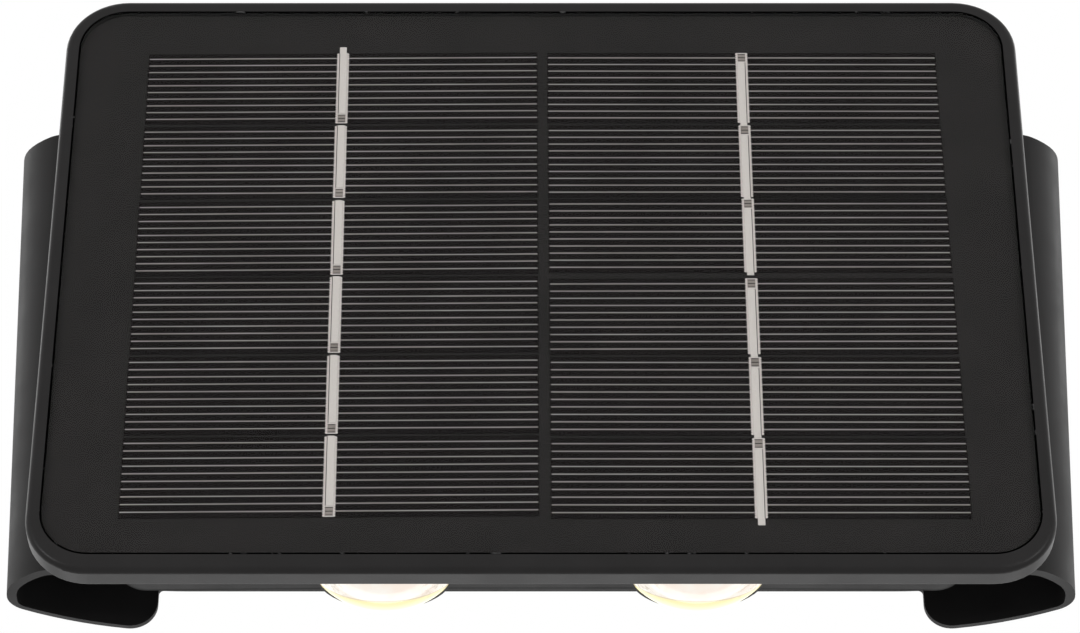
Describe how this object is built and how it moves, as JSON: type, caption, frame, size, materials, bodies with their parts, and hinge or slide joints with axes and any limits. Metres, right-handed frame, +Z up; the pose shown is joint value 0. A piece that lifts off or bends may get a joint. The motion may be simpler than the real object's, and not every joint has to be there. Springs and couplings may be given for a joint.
{
  "type": "fence light",
  "caption": "Solar fence light: flat rounded solar panel over a lamp body with domed lenses and curved side wings, hung on a fence by keyholes.",
  "frame": {"origin": "middle of the two keyhole entries, on the wall plane of the rear cover", "axes": "+X to the right seen from the front, +Y into the wall, +Z up; the panel faces -Y"},
  "size_m": [0.1718, 0.0382, 0.108],
  "materials": {
    "housing_plastic": "satin black moulded plastic, fine grain",
    "cover_plastic": "satin black moulded plastic, fine grain",
    "frame_plastic": "satin black moulded plastic",
    "cover_glass": "clear flat cover glass",
    "cell_silicon": "dark monocrystalline cell",
    "ribbon_silver": "tinned ribbon",
    "backboard_laminate": "black laminate board",
    "adhesive_foam": "foam tape",
    "screw_steel": "zinc plated steel",
    "seal_rubber": "matt black rubber",
    "circuit_board": "green solder mask",
    "component_black": "moulded component packages",
    "battery_sleeve": "plain shrink sleeve",
    "cradle_plastic": "black moulded plastic",
    "contact_nickel": "nickel plated spring steel",
    "switch_plastic": "black moulded plastic",
    "button_plastic": "dark grey moulded plastic",
    "led_phosphor": "yellow phosphor over a white package",
    "lens_plastic": "clear moulded plastic, lit warm white from inside",
    "wire_insulation": "thin insulated wire"
  },
  "bodies": {
    "root": {"battery_cell": "battery_sleeve", "battery_contact_minus": "contact_nickel", "battery_contact_plus": "contact_nickel", "battery_cradle": "cradle_plastic", "battery_wires": "wire_insulation", "board_parts": "component_black", "button_seal": "seal_rubber", "cell_ribbons": "ribbon_silver", "control_board": "circuit_board", "control_screws": "screw_steel", "cover_screws": "screw_steel", "cover_seal": "seal_rubber", "front_housing": "housing_plastic", "led_board_lower": "circuit_board", "led_board_upper": "circuit_board", "led_screws_lower": "screw_steel", "led_screws_upper": "screw_steel", "led_wires_lower": "wire_insulation", "led_wires_upper": "wire_insulation", "leds_lower": "led_phosphor", "leds_upper": "led_phosphor", "lens_lower_left": "lens_plastic", "lens_lower_right": "lens_plastic", "lens_seal_lower_left": "seal_rubber", "lens_seal_lower_right": "seal_rubber", "lens_seal_upper_left": "seal_rubber", "lens_seal_upper_right": "seal_rubber", "lens_upper_left": "lens_plastic", "lens_upper_right": "lens_plastic", "panel_adhesive": "adhesive_foam", "panel_frame": "frame_plastic", "panel_screws": "screw_steel", "panel_wires": "wire_insulation", "rear_cover": "cover_plastic", "solar_backboard": "backboard_laminate", "solar_cells": "cell_silicon", "solar_glass": "cover_glass", "switch_body": "switch_plastic", "switch_wires": "wire_insulation"},
    "button": {"power_button": "button_plastic"}
  },
  "joints": [
    {"name": "power_button_press", "type": "slide", "parent": "root", "child": "button", "axis": [0, -1, 0], "range_m": [0, 0.0015], "stiffness_N_per_m": 400, "springref_m": -0.001}
  ]
}
